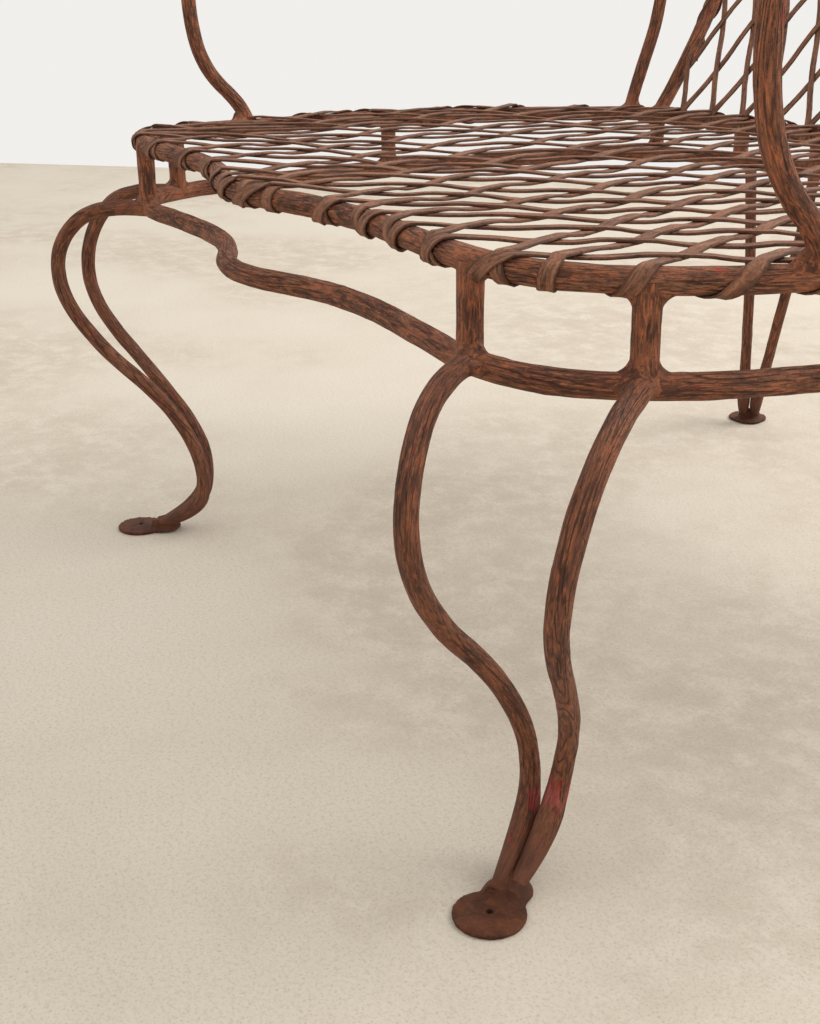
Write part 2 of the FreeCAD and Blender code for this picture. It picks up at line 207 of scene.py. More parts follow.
def straight_bar(name, radius, length):
    """A straight round bar along X, with rings close enough to take the bark."""
    rings = max(4, round(length / RING_STEP))
    deselect()
    bpy.ops.mesh.primitive_circle_add(vertices=BAR_SIDES, radius=radius, fill_type="NGON",
                                      rotation=(0, math.pi / 2, 0))
    bar = bpy.context.object
    bar.name = name
    bpy.ops.object.transform_apply(location=False, rotation=True, scale=False)
    draw_out(rings, length / rings)
    return bar


def bark(table, radius, seed):
    """How far the bark stands out at places on a straight bar, and how deep its grooves are."""
    draw = random.Random(seed)
    along = table[:, 0]
    around = np.arctan2(table[:, 2], table[:, 1])
    length = along.max()
    knots = np.zeros(len(table))
    turned = around.copy()
    for _ in range(max(1, round(length / KNOT_EVERY))):
        place, angle = draw.uniform(0, length), draw.uniform(-math.pi, math.pi)
        size = draw.uniform(0.7, 1.25)
        off = (around - angle + math.pi) % (2 * math.pi) - math.pi
        off_side = off * radius
        off_along = (along - place) * 0.5
        far = np.hypot(off_side, off_along) / size
        turned -= off * 0.8 * np.exp(-(far / KNOT_SPREAD) ** 2)
        knots += 0.9 * np.exp(-(far / KNOT_SIZE) ** 2)
        for ring in KNOT_RINGS:
            knots -= 0.8 * np.exp(-((far - ring) / RING_WIDTH) ** 2)
    place = np.column_stack([along + 3.7 * seed, radius * np.cos(turned), radius * np.sin(turned)])
    sway = GRAIN_SWAY * rolling(place * (42, 110, 110))[:, None] * (0, 1, 1)
    fine = rolling((place + sway) * (21, 700, 700))
    wide = rolling((place - sway) * (13, 330, 330) + (9, 0, 0))
    lump = rolling(place * (55, 140, 140) + (0, 0, 5))
    where = rolling(place * (21, 120, 120) + (0, 3, 0))
    strong = np.clip(0.62 + 1.1 * where, 0.15, 1.0)
    grooves = strong * np.clip(1 - np.abs(fine) / 0.16, 0, 1)
    clefts = np.clip(1 - np.abs(wide) / 0.09, 0, 1) * np.clip(0.55 + 1.3 * lump, 0, 1)
    relief = -grooves * 0.75 - clefts * 1.0 + np.clip(knots, -1, 1)
    stand = relief * GROOVE_DEPTH + lump * LUMP_HEIGHT + wide * WAVE_HEIGHT
    return stand, relief


def rod(name, points, radius, seed, widths=None, spots=(), forged=0.0):
    """A bark-grained rod: a straight bar, bent along its route, with the grain pressed in.
    spots are patches of old paint: height above the floor, how far it reaches, which way it
    faces. forged is the height under which the rod is hammered smooth."""
    guide = route(points, widths)
    middle = line_of(guide)
    bar = straight_bar(name, radius, length_of(middle))
    straight = read_places(bar)
    write_grain(bar, "grain", straight + np.array([0.37 * seed, 0, 0]))
    bend = bar.modifiers.new("bend", "CURVE")
    bend.object = guide
    bend.deform_axis = "POS_X"
    apply_all(bar)
    bpy.data.objects.remove(guide)
    stand, relief = bark(straight, radius, seed)
    places = read_places(bar)
    normals = np.zeros(len(bar.data.vertices) * 3, dtype=np.float32)
    bar.data.vertices.foreach_get("normal", normals)
    near = np.full(len(places), 1.0)
    for place in weld_places:
        near = np.minimum(near, np.linalg.norm(places - np.array(place), axis=1))
    low = np.zeros(len(places))
    if forged:
        low = np.clip(1.25 * (1 - places[:, 2] / forged), 0, 1)
    fade = np.clip((near - 0.009) / 0.011, 0.1, 1.0) * (1 - 0.9 * low)
    ends = (straight[:, 0] < 1e-6) | (straight[:, 0] > straight[:, 0].max() - 1e-6)
    stand = np.where(ends, 0.0, stand * fade)
    set_places(bar, places + normals.reshape(-1, 3) * stand[:, None])
    write_grain(bar, "relief", relief * fade)
    painted = np.zeros(len(places))
    for height, half, facing in spots:
        level = np.clip(1.6 - 1.6 * np.abs(places[:, 2] - height) / half, 0, 1)
        seen = normals.reshape(-1, 3) @ np.array(facing)
        painted = np.maximum(painted, level * np.clip(0.25 + 1.5 * seen, 0, 1))
    write_grain(bar, "paint", painted)
    write_grain(bar, "forged", low)
    welded = 1 - np.clip((near - 0.010) / 0.013, 0, 1)
    write_grain(bar, "weldness", np.maximum(welded, low))
    pick(bar)
    bpy.ops.object.shade_smooth_by_angle(angle=SMOOTH_ANGLE)
    return bar, middle


class Value:
    """A number that changes over a surface. Sums with it add Math nodes."""

    def __init__(self, finish, socket):
        self.finish = finish
        self.socket = socket

    def math(self, operation, *others):
        """This value worked on by a Math node, with others after it."""
        return self.finish.node("Math", {"operation": operation}, (self, *others))

    def flipped(self, operation, other):
        """The same with the other value first, for a number on the left of a sum."""
        return self.finish.node("Math", {"operation": operation}, (other, self))

    def __add__(self, other):
        return self.math("ADD", other)

    def __radd__(self, other):
        return self.flipped("ADD", other)

    def __sub__(self, other):
        return self.math("SUBTRACT", other)

    def __rsub__(self, other):
        return self.flipped("SUBTRACT", other)

    def __mul__(self, other):
        return self.math("MULTIPLY", other)

    def __rmul__(self, other):
        return self.flipped("MULTIPLY", other)


class Finish:
    """A material and the nodes of its pattern."""

    def __init__(self, name):
        self.material = bpy.data.materials.new(name)
        self.material.use_nodes = True
        self.tree = self.material.node_tree
        self.shader = self.tree.nodes["Principled BSDF"]

    def node(self, kind, settings=None, sockets=(), out=0):
        """Adds a node: its settings first, then the values or links of its sockets."""
        made = self.tree.nodes.new("ShaderNode" + kind)
        for key, setting in (settings or {}).items():
            setattr(made, key, setting)
        pairs = sockets.items() if isinstance(sockets, dict) else enumerate(sockets)
        for key, given in pairs:
            if isinstance(given, Value):
                self.tree.links.new(given.socket, made.inputs[key])
            else:
                made.inputs[key].default_value = given
        return Value(self, made.outputs[out])

    def noise(self, vector, scale, detail, rough=0.55, distortion=0.0, shift=(0, 0, 0)):
        """Random clouds. The scale by axis stretches them, so that a grain runs along a rod."""
        stretched = self.node("VectorMath", {"operation": "MULTIPLY_ADD"}, (vector, scale, shift))
        return self.node("TexNoise", {"noise_dimensions": "3D"},
                         {"Vector": stretched, "Scale": 1.0, "Detail": detail,
                          "Roughness": rough, "Distortion": distortion})

    def step(self, value, low, high):
        """0 below low, 1 above high and smooth between."""
        return self.node("MapRange", {"interpolation_type": "SMOOTHSTEP"},
                         {"Value": value, "From Min": low, "From Max": high})

    def mix(self, factor, first, second):
        """The first colour at factor 0, the second at 1."""
        return self.node("Mix", {"data_type": "RGBA", "blend_type": "MIX"},
                         {0: factor, 6: first, 7: second}, out=2)

    def bump(self, height, strength, distance):
        return self.node("Bump", {}, {"Strength": strength, "Distance": distance,
                                      "Height": height})

    def feed(self, name, value):
        """Sets one of the shader's own sockets, or links a value to it."""
        if isinstance(value, Value):
            self.tree.links.new(value.socket, self.shader.inputs[name])
        else:
            self.shader.inputs[name].default_value = value


def linear(part):
    """One part of a screen colour, from 0 to 255, made linear."""
    part /= 255
    return part / 12.92 if part < 0.04045 else ((part + 0.055) / 1.055) ** 2.4


def colour(red, green, blue):
    """A colour given as it looks on a screen."""
    return (linear(red), linear(green), linear(blue), 1.0)


DARK_RUST = colour(84, 49, 33)
BROWN_RUST = colour(138, 85, 58)
ORANGE_RUST = colour(194, 117, 76)
FRESH_RUST = colour(188, 104, 62)
PALE_RUST = colour(160, 122, 96)
CHARCOAL = colour(40, 30, 26)
OLD_PAINT = colour(160, 44, 40)
FADED_PAINT = colour(200, 118, 116)
PAD_DARK = colour(66, 34, 17)
PAD_BROWN = colour(94, 52, 29)


def rusty_rod(name, darker=0.0, paint=0.66):
    """Rolled bark grain in brown rust: orange ridges, charcoal grooves, specks of red paint."""
    f = Finish(name)
    grain = f.node("Attribute", {"attribute_name": "grain"}, out=1)
    relief = f.node("Attribute", {"attribute_name": "relief"}, out=2)
    weldness = f.node("Attribute", {"attribute_name": "weldness"}, out=2)
    painted = f.node("Attribute", {"attribute_name": "paint"}, out=2)
    forged = f.node("Attribute", {"attribute_name": "forged"}, out=2)
    even = 1 - weldness
    # wood-like lines: the level lines of a slow wave that is stretched along the rod
    figure = f.noise(grain, (10, 120, 120), 1.5, 0.35)
    ripple = f.noise(grain, (70, 500, 500), 2.0, shift=(0, 0, 2))
    lines = ((figure * 11 + ripple * 0.5).math("FRACT") - 0.5).math("ABSOLUTE") * 2
    fine = f.noise(grain, (24, 320, 320), 1.0, 0.3, shift=(3, 0, 0))
    fine_lines = ((fine * 9 + ripple * 0.3).math("FRACT") - 0.5).math("ABSOLUTE") * 2
    broken = f.noise(grain, (20, 150, 150), 3.0, 0.6, shift=(0, 6, 0))
    lined = f.step(lines, 0.58, 0.98) * f.step(broken, 0.36, 0.52) * even
    hair = f.step(fine_lines, 0.6, 0.98) * f.step(broken, 0.64, 0.42) * even
    patches = f.noise(grain, (32, 75, 75), 4.0, 0.6)
    clouds = f.noise(grain, (14, 40, 40), 2.0, shift=(5, 0, 0))
    streaks = f.noise(grain, (110, 900, 900), 4.0, 0.62, 0.3)
    grit = f.noise(grain, (1300, 1300, 1300), 2.0, 0.6)
    pits = f.noise(grain, (420, 900, 900), 2.0, shift=(0, 3, 0))
    base = f.mix(f.step(patches, 0.34, 0.60), DARK_RUST, BROWN_RUST)
    base = f.mix(f.step(streaks, 0.46, 0.64) * 0.6, base, ORANGE_RUST)
    base = f.mix(f.step(clouds, 0.5, 0.68) * f.step(streaks, 0.42, 0.62) * 0.5, base, PALE_RUST)
    base = f.mix(f.step(relief, 0.0, 0.9) * 0.3, base, ORANGE_RUST)
    base = f.mix(f.step(pits, 0.60, 0.72) * 0.6, base, DARK_RUST)
    base = f.mix(f.step(grit, 0.35, 0.65) * 0.3, base, DARK_RUST)
    base = f.mix(lined * 0.62, base, CHARCOAL)
    base = f.mix(hair * 0.45, base, CHARCOAL)
    base = f.mix(f.step(relief * -1, 0.2, 0.95) * 0.45 * even, base, CHARCOAL)
    blots = f.noise(grain, (70, 320, 320), 3.0, 0.62, shift=(0, 8, 0))
    base = f.mix(f.step(blots, 0.57, 0.66) * 0.55, base, CHARCOAL)
    flakes = f.noise(grain, (140, 620, 620), 3.0, 0.66, shift=(0, 0, 4))
    base = f.mix(f.step(flakes, 0.56, 0.66) * 0.6, base, FRESH_RUST)
    base = f.mix(f.step(flakes, 0.44, 0.34) * 0.55, base, CHARCOAL)
    spots = f.noise(grain, (42, 130, 130), 3.0, 0.65, shift=(0, 0, 7))
    flecks = f.noise(grain, (300, 700, 700), 2.0, shift=(2, 0, 0))
    base = f.mix(forged * 0.85, base, f.mix(f.step(patches, 0.4, 0.6), PAD_DARK, PAD_BROWN))
    red = f.step(spots + painted * 0.24, paint, paint + 0.05)
    red = red * f.step(flecks + painted * 0.12, 0.44, 0.56)
    base = f.mix(red * 0.8, base, OLD_PAINT)
    pink = red * painted * f.step(clouds + 0.5 * streaks, 0.66, 0.84)
    base = f.mix(pink * 0.55, base, FADED_PAINT)
    if darker:
        base = f.mix(darker, base, DARK_RUST)
    f.feed("Base Color", base)
    f.feed("Roughness", 0.62 + 0.2 * streaks - 0.1 * f.step(relief, 0.0, 0.8) + lined * 0.15)
    f.feed("Metallic", 0.0)
    f.feed("Specular IOR Level", 0.4)
    height = (streaks * 0.5 + patches * 0.3 - f.step(pits, 0.58, 0.72) * 0.25 + grit * 0.2
              - lined * 0.75 - hair * 0.35 + flakes * 0.5)
    f.feed("Normal", f.bump(height, 0.95, 0.0011))
    return f.material


rail_finish = rusty_rod("rail_rust")


def dress(piece, finish, slot, *nodes):
    """Gives a piece its finish, ties it to the frame, and hides the CAD nodes that it shows."""
    piece.data.materials.clear()
    piece.data.materials.append(finish)
    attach(piece, "root")
    if nodes:
        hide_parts(*nodes)


# The bend points of half a loop on the left, sideways and back from the front line
FRONT_BENDS = [(0, -0.031), (0.100, 0.0055), (0.248, -0.005), (0.302, 0.012), (0.338, 0.066),
               (0.3452, 0.1032)]
SIDE_BENDS = [(0.3452, 0.1032), (0.350, 0.128), (0.384, 0.255), (0.372, 0.365),
              (0.349, 0.446), (0.324, LOOP_DEPTH), (0.2106, LOOP_DEPTH)]


def loop_routes(surface, bends):
    """The bend points of the four rods of a rail loop, laid on a surface."""
    front = [(-x, y) for x, y in reversed(bends[1:])] + bends
    rear = [SIDE_BENDS[-1], (0, LOOP_DEPTH), (-SIDE_BENDS[-1][0], LOOP_DEPTH)]
    return {"front": [surface(x, y) for x, y in front],
            "left": [surface(x, y) for x, y in SIDE_BENDS],
            "right": [surface(-x, y) for x, y in SIDE_BENDS],
            "rear": [surface(x, y) for x, y in rear]}


seat_lines = {}
for seed, (place, bends) in enumerate(loop_routes(on_seat, FRONT_BENDS).items(), start=1):
    piece, seat_lines[place] = rod("seat_%s_rod" % place, bends, RAIL_RADIUS, seed)
    dress(piece, rail_finish, "seat_rail_iron", "seat_%s_rail" % place)


# Apron rails
# The lower loop on the same plan, 48 mm under the seat, level in front and swept up at the
# back, with a slightly sharper bow. The same half-inch rod, with traces of red paint.

APRON_HEIGHT = 0.2758
SWEEP_START = 0.7 * LOOP_DEPTH
SWEEP = 0.016
BOW_BENDS = [(0, -0.035), (0.092, 0.007), (0.200, 0.002), (0.252, -0.004)] + FRONT_BENDS[3:]


def on_apron(x, back):
    """A point on the surface of the lower loop: sideways, and back from the front line."""
    share = max(0.0, back - SWEEP_START) / (LOOP_DEPTH - SWEEP_START)
    middle = max(0.0, 1 - abs(x) / 0.324)
    return Vector((x, FRONT + back, APRON_HEIGHT + SWEEP * share * (0.35 + 0.65 * middle)))


apron_finish = rusty_rod("apron_rust", paint=0.65)
apron_lines = {}
for seed, (place, bends) in enumerate(loop_routes(on_apron, BOW_BENDS).items(), start=5):
    piece, apron_lines[place] = rod("apron_%s_rod" % place, bends, RAIL_RADIUS, seed)
    dress(piece, apron_finish, "apron_rail_iron", "apron_%s_rail" % place)


# Posts
# Twelve short uprights of the same rod between the two loops, coped and welded at both ends.

POST_RADIUS = 0.0065
POST_WIDTHS = (1.04, 1.0, 1.0, 1.04)
post_finish = rusty_rod("post_rust", paint=0.64)
post_lines = {}
for seed, post in enumerate(POSTS, start=9):
    low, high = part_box(post)
    centre = middle_of(post)
    foot = on_apron(centre.x, centre.y - FRONT)
    head = on_seat(centre.x, centre.y - FRONT)
    stages = [foot + (head - foot) * share for share in (0, 0.35, 0.65, 1)]
    piece, post_lines[post] = rod(post + "_rod", stages, POST_RADIUS, seed, POST_WIDTHS)
    dress(piece, post_finish, "post_iron", post)


# Legs
# Eight rods bent in an S, in pairs that part under the apron rail and meet on one foot.
# The front ones are cabriole shaped and taper towards the foot; bark grain and red paint.

FOOT_RADIUS = 0.019
LEGS = {
    # each leg: its post, its foot, where it lands beside the foot's middle, radius, taper, and
    # its bends as the share of the way down and how far it stands outwards and backwards
    "front_inner_leg": ("front_post", "front_foot", (-0.0100, 0.0078), 0.0055, (1.07, 0.95),
                        ((-0.01, 0.031, -0.035), (0.11, 0.050, -0.060), (0.26, 0.045, -0.060),
                         (0.42, 0.019, -0.034), (0.57, -0.004, 0.007), (0.71, -0.013, 0.030),
                         (0.84, -0.023, 0.039), (0.95, -0.022, 0.032))),
    "front_outer_leg": ("corner_post", "front_foot", (-0.0045, 0.0142), 0.0055, (1.07, 0.95),
                        ((-0.01, 0.033, -0.034), (0.09, 0.049, -0.055), (0.23, 0.054, -0.060),
                         (0.37, 0.045, -0.047), (0.55, 0.014, -0.007), (0.70, -0.014, 0.023),
                         (0.82, -0.025, 0.034), (0.95, -0.019, 0.029))),
    "rear_outer_leg": ("rear_outer_post", "rear_foot", (-0.003, -0.008), 0.0052, (1.04, 0.98),
                       ((0.01, 0.056, 0.058), (0.20, 0.074, 0.072), (0.44, 0.060, 0.060),
                        (0.65, 0.036, 0.036), (0.83, 0.014, 0.014), (0.95, 0, 0))),
    "rear_inner_leg": ("rear_inner_post", "rear_foot", (-0.009, 0.002), 0.0052, (1.04, 0.98),
                       ((0.01, 0.080, 0.075), (0.20, 0.096, 0.092), (0.45, 0.074, 0.072),
                        (0.66, 0.047, 0.044), (0.83, 0.020, 0.018), (0.95, 0.002, -0.002))),
}
leg_finish = rusty_rod("leg_rust", darker=0.30, paint=0.65)
# the height under which a leg is hammered smooth, how far it flares there, and how it runs out
FORGED = 0.050
FLARE = 1.40
RUN_OUT = 0.58
RUN_OUT_HEIGHT = 0.0034
# patches of old paint on the two rods nearest the eye
LEG_PAINT = {"front_inner_leg_left": [(0.039, 0.0095, (0.84, 0.54, 0))],
             "front_outer_leg_left": [(0.047, 0.0140, (0.89, -0.45, 0))]}
leg_lines = {}
seed = 21
for leg, (post, foot, landing, radius, taper, bends) in LEGS.items():
    for side_name, side in (("left", 1), ("right", -1)):
        axis = middle_of("%s_%s" % (post, side_name))
        pad = middle_of("%s_%s" % (foot, side_name))
        top = on_apron(axis.x, axis.y - FRONT)
        end = Vector((pad.x + side * landing[0], pad.y + landing[1], radius))
        sunk = Vector((end.x, end.y, RUN_OUT_HEIGHT))
        points = [top]
        for share, out, back in bends:
            straight = top + (end - top) * share
            points.append(Vector((straight.x + side * out, straight.y + back, straight.z)))
        points.append(sunk)
        widths = [taper[0] + (taper[1] - taper[0]) * n / (len(points) - 1)
                  for n in range(len(points))]
        widths[-2:] = (FLARE, RUN_OUT)
        name = "%s_%s" % (leg, side_name)
        piece, leg_lines[name] = rod(name + "_rod", points, radius, seed, widths,
                                     LEG_PAINT.get(name, ()), FORGED)
        dress(piece, leg_finish, "leg_iron", name)
        seed += 1


# Arms
# A hoop of slightly thinner rod on each side, from the front of the side rail up, over and
# down to the rear corner, welded to the top of the seat rail at both ends.

ARM_RADIUS = 0.0057
ARM_BENDS = [(0.353, 0.116, 0.337), (0.355, 0.083, 0.368), (0.355, 0.072, 0.410),
             (0.356, 0.074, 0.470), (0.358, 0.096, 0.535), (0.357, 0.160, 0.566),
             (0.354, 0.290, 0.574), (0.350, 0.401, 0.566), (0.343, 0.509, 0.538),
             (0.337, 0.527, 0.460), (0.335, 0.524, 0.405)]


def nearest_on(lines, place):
    """The place on any of some middle lines that lies nearest to the one given."""
    return min((point for line in lines for point in line), key=lambda p: (p - place).length)


arm_lines = {}
for side_name, side in (("left", 1), ("right", -1)):
    rails = [seat_lines["front"], seat_lines[side_name]]
    start = nearest_on(rails, on_seat(side * 0.347, 0.120))
    end = nearest_on(rails, on_seat(side * 0.333, 0.491))
    points = [start] + [Vector((side * x, FRONT + y, z)) for x, y, z in ARM_BENDS]
    points += [end + Vector((side * 0.001, 0.008, 0.026)), end]
    piece, arm_lines[side_name] = rod(side_name + "_arm_rod", points, ARM_RADIUS, seed)
    dress(piece, rail_finish, "arm_iron", side_name + "_arm")
    seed += 1


# Back frame
# One half-inch rod from rear corner to rear corner, up the two stiles and over the top, in a
# plane that leans back. The stiles are welded to the side rails just ahead of the corners.

LEAN = math.radians(25.6)
REAR_RAIL = on_seat(0, LOOP_DEPTH)


def on_back(x, up, lift=0.0):
    """A point in the leaning plane through the rear rail. Lift is towards the sitter."""
    return Vector((x, REAR_RAIL.y + up * math.sin(LEAN) - lift * math.cos(LEAN),
                   REAR_RAIL.z + up * math.cos(LEAN) + lift * math.sin(LEAN)))


BACK_BENDS = [(0.312, 0.044), (0.312, 0.345), (0.290, 0.473), (0.172, 0.531), (0, 0.551)]
stile_feet = {side_name: nearest_on([seat_lines[side_name]], on_seat(side * 0.312, 0.513))
              for side_name, side in (("left", 1), ("right", -1))}
points = [stile_feet["left"]] + [on_back(x, up) for x, up in BACK_BENDS]
points += [on_back(-x, up) for x, up in reversed(BACK_BENDS[:-1])] + [stile_feet["right"]]
piece, back_line = rod("back_frame_rod", points, RAIL_RADIUS, seed)
dress(piece, rail_finish, "back_frame_iron", "back_frame")
seed += 1


# Welds
# Where rods meet, the iron is built up and dressed to a smooth concave fillet with no bark
# grain. Each fillet is shaped from short stubs of the rods that meet in it.

STUB = 0.026
STUB_STEP = 0.003
SWELL = 0.0068
WELD_SIZE = 0.0168
WELD_GRID = 0.001
UNDER = 0.0004
LEG_TOP_RADIUS = 0.0056


def all_round(lines, side_name):
    """The front, side and rear rods of one half of a loop as one middle line."""
    if side_name == "left":
        return lines["front"] + lines["left"] + lines["rear"]
    return lines["front"][::-1] + lines["right"] + lines["rear"][::-1]


def stub(line, place, radius, reach=STUB, taper=None):
    """A short plain tube round the stretch of a middle line that is near a place. A taper is
    the share of the radius at the place itself, and the share at its far end."""
    fine = []
    for a, b in zip(line, line[1:]):
        if (b - a).length < 1e-6:
            continue
        parts = max(1, math.ceil((b - a).length / STUB_STEP))
        fine += [a + (b - a) * n / parts for n in range(parts)]
    near = [point for point in fine + [line[-1]] if (point - place).length < reach]
    tube = bpy.data.curves.new("stub", "CURVE")
    tube.dimensions = "3D"
    tube.bevel_depth = radius
    tube.bevel_resolution = 6
    tube.use_fill_caps = True
    spline = tube.splines.new("POLY")
    spline.points.add(len(near) - 1)
    for point, spot in zip(spline.points, near):
        point.co = (*spot, 1.0)
        if taper:
            share = min(1.0, (spot - place).length / reach)
            point.radius = taper[0] + (taper[1] - taper[0]) * share
    shape = put_in("stub", tube)
    solid = put_in("stub", bpy.data.meshes.new_from_object(shape))
    bpy.data.objects.remove(shape)
    return solid


def fuse(name, solids, swell, grid, smoothing, keep=0.4):
    """Runs swollen shapes together and draws the skin back in, which leaves fillets. The
    smoothing is a number of passes, and keep is the share of the faces that stay."""
    pick(*solids)
    bpy.ops.object.join()
    piece = bpy.context.object
    piece.name = name
    for kind, settings in (("REMESH", {"mode": "VOXEL", "voxel_size": grid * 1.3}),
                           ("DISPLACE", {"strength": -swell, "mid_level": 0.0}),
                           ("REMESH", {"mode": "VOXEL", "voxel_size": grid}),
                           ("SMOOTH", {"iterations": smoothing, "factor": 0.5}),
                           ("DECIMATE", {"ratio": keep})):
        step = piece.modifiers.new(kind.lower(), kind)
        for key, setting in settings.items():
            setattr(step, key, setting)
    apply_all(piece)
    pick(piece)
    bpy.ops.object.shade_smooth()
    return piece


def cut_with(piece, operation):
    """Cuts a piece with the shape that was just made, which then goes."""
    tool = bpy.context.object
    cut = piece.modifiers.new("cut", "BOOLEAN")
    cut.operation = operation
    cut.solver = "EXACT"
    cut.object = tool
    apply_all(piece)
    bpy.data.objects.remove(tool)


def trim(piece, place, reach):
    """Cuts a piece off at a ball round a place, inside the rods that it joins."""
    deselect()
    bpy.ops.mesh.primitive_uv_sphere_add(segments=32, ring_count=20, radius=reach, location=place)
    cut_with(piece, "INTERSECT")
    pick(piece)
    bpy.ops.object.shade_smooth_by_angle(angle=SMOOTH_ANGLE)
    return piece


def weld_iron(name):
    """Dressed weld metal and hammered iron: mottled brown rust with dark pits, no grain."""
    f = Finish(name)
    place = f.node("TexCoord", out=3)
    clouds = f.noise(place, (70, 70, 70), 4.0, 0.6)
    mottle = f.noise(place, (260, 260, 260), 4.0, 0.65)
    grit = f.noise(place, (1200, 1200, 1200), 2.0)
    pits = f.noise(place, (520, 520, 520), 2.0, 0.5, shift=(0, 4, 0))
    base = f.mix(f.step(clouds, 0.38, 0.62), DARK_RUST, BROWN_RUST)
    base = f.mix(f.step(mottle, 0.48, 0.66) * 0.6, base, ORANGE_RUST)
    base = f.mix(f.step(grit, 0.35, 0.65) * 0.3, base, DARK_RUST)
    base = f.mix(f.step(pits, 0.60, 0.70) * 0.75, base, CHARCOAL)
    f.feed("Base Color", base)
    f.feed("Roughness", 0.62 + 0.2 * mottle)
    f.feed("Specular IOR Level", 0.35)
    height = mottle * 0.8 + grit * 0.25 - f.step(pits, 0.58, 0.7) * 0.4
    f.feed("Normal", f.bump(height, 0.8, 0.0007))
    return f.material


weld_finish = weld_iron("weld_rust")


def weld_up(name, stubs, place, slot):
    """Makes one weld of the stubs round a place."""
    weld = trim(fuse(name, stubs, SWELL, WELD_GRID, 8), place, WELD_SIZE)
    dress(weld, weld_finish, slot)


legs_under = {"front_post": "front_inner_leg", "corner_post": "front_outer_leg",
              "rear_outer_post": "rear_outer_leg", "rear_inner_post": "rear_inner_leg"}
for post in POSTS:
    kind, side_name = post.rsplit("_", 1)
    line = post_lines[post]
    for level, lines, place in (("top", seat_lines, line[-1]), ("foot", apron_lines, line[0])):
        stubs = [stub(all_round(lines, side_name), place, RAIL_RADIUS - UNDER + SWELL),
                 stub(line, place, POST_RADIUS - UNDER + SWELL)]
        if level == "foot" and kind in legs_under:
            leg = leg_lines["%s_%s" % (legs_under[kind], side_name)]
            stubs.append(stub(leg, place, LEG_TOP_RADIUS - UNDER + SWELL))
        weld_up("%s_%s_weld" % (post, level), stubs, place, "post_iron")
for side_name in ("left", "right"):
    arm = arm_lines[side_name]
    for name, line, radius, place, slot in (
            (side_name + "_arm_front_weld", arm, ARM_RADIUS, arm[0], "arm_iron"),
            (side_name + "_arm_rear_weld", arm, ARM_RADIUS, arm[-1], "arm_iron"),
            ("back_frame_%s_weld" % side_name, back_line, RAIL_RADIUS, stile_feet[side_name],
             "back_frame_iron")):
        stubs = [stub(all_round(seat_lines, side_name), place, RAIL_RADIUS - UNDER + SWELL),
                 stub(line, place, radius - UNDER + SWELL)]
        weld_up(name, stubs, place, slot)


# Feet
# Four flat round pads forged out of the ends of the leg rods, which run into them like the
# handle into a spoon. Each has a small hole. Smooth dark brown rust without grain.

PAD_THICKNESS = 0.0034
HOLE_RADIUS = 0.0019
PAD_SWELL = 0.0020
PAD_GRID = 0.0008
# how far the ends of the rods reach into a foot, and their widths there
TOE_REACH = 0.020
TOE_WIDTHS = (1.02, 0.62)
# the hump where they meet: its place along them, its height above the floor, its half sizes
HUMP_BACK = 0.007
HUMP_HEIGHT = 0.0035
HUMP_SIZES = (0.0145, 0.0145, 0.0024)
# how far the rim is hammered thin, and the heights between which that fades
RIM_THINNED = 0.42
THIN_BELOW = 0.006
THIN_FADE = 0.003


def foot_iron(name):
    """Hammered iron in dark brown rust, mottled, with no grain."""
    f = Finish(name)
    place = f.node("TexCoord", out=3)
    clouds = f.noise(place, (60, 60, 60), 4.0, 0.6)
    mottle = f.noise(place, (330, 330, 330), 4.0, 0.65)
    grit = f.noise(place, (1300, 1300, 1300), 2.0)
    base = f.mix(f.step(clouds, 0.36, 0.64), PAD_DARK, PAD_BROWN)
    base = f.mix(f.step(mottle, 0.52, 0.70) * 0.45, base, colour(124, 74, 46))
    base = f.mix(f.step(grit, 0.4, 0.65) * 0.3, base, colour(50, 30, 24))
    f.feed("Base Color", base)
    f.feed("Roughness", 0.6 + 0.2 * mottle)
    f.feed("Specular IOR Level", 0.25)
    f.feed("Normal", f.bump(mottle * 0.8 + clouds * 0.6 + grit * 0.3, 0.9, 0.0008))
    return f.material


